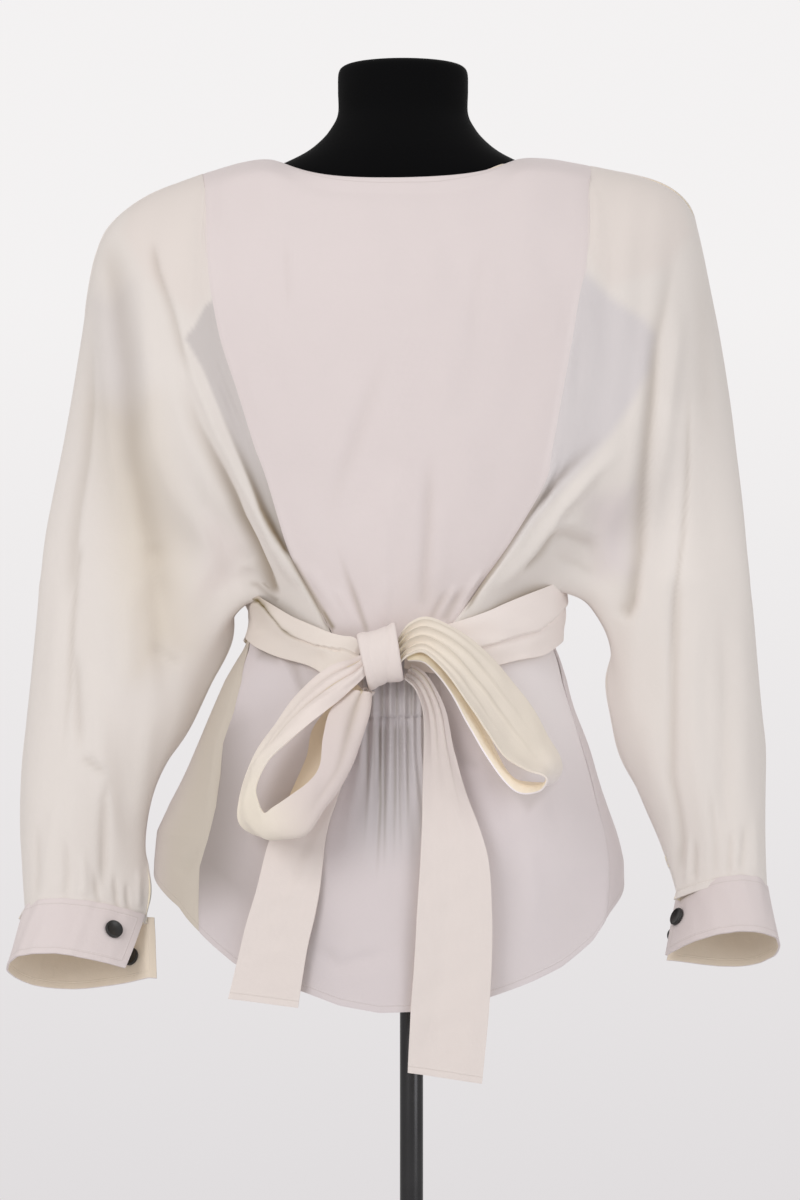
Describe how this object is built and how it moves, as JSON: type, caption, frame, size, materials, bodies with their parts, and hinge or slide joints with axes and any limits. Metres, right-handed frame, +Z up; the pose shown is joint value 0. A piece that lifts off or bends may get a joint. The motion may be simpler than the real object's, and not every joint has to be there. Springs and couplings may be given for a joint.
{
  "type": "blouse on a dress form with stand",
  "caption": "Long-sleeved blouse with wide sleeves and a sash tied in a bow at the back, on a limbless dress form with a round stand.",
  "frame": {"origin": "middle of the stand base's flat underside, on the pole's axis, at floor level", "axes": "+Z up along the stand's pole, -Y towards the viewer of the picture (the blouse's back, where the bow is tied), +X to the right in the picture"},
  "size_m": [0.6525, 0.3401, 1.4974],
  "materials": {
    "blouse_cloth": "matt plain-weave crepe, slightly see-through",
    "sash_cloth": "matt plain-weave crepe, doubled",
    "shoulder_pad": "matt covered wadding",
    "button": "satin black",
    "form_cover": "matt black jersey",
    "stand_metal": "dark polished"
  },
  "bodies": {
    "root": {"back_lower": "blouse_cloth", "back_upper": "blouse_cloth", "bow_knot": "sash_cloth", "bow_loop_left": "sash_cloth", "bow_loop_right": "sash_cloth", "cuff_left": "blouse_cloth", "cuff_left_button_1": "button", "cuff_left_button_2": "button", "cuff_right": "blouse_cloth", "cuff_right_button_1": "button", "cuff_right_button_2": "button", "dress_form": "form_cover", "front_lower": "blouse_cloth", "front_upper": "blouse_cloth", "sash_tail_left": "sash_cloth", "sash_tail_right": "sash_cloth", "shoulder_pad_left": "shoulder_pad", "shoulder_pad_right": "shoulder_pad", "sleeve_left_back": "blouse_cloth", "sleeve_left_front": "blouse_cloth", "sleeve_right_back": "blouse_cloth", "sleeve_right_front": "blouse_cloth", "stand_base": "stand_metal", "stand_collar": "stand_metal", "stand_pole": "stand_metal", "waist_sash": "sash_cloth"}
  },
  "joints": []
}
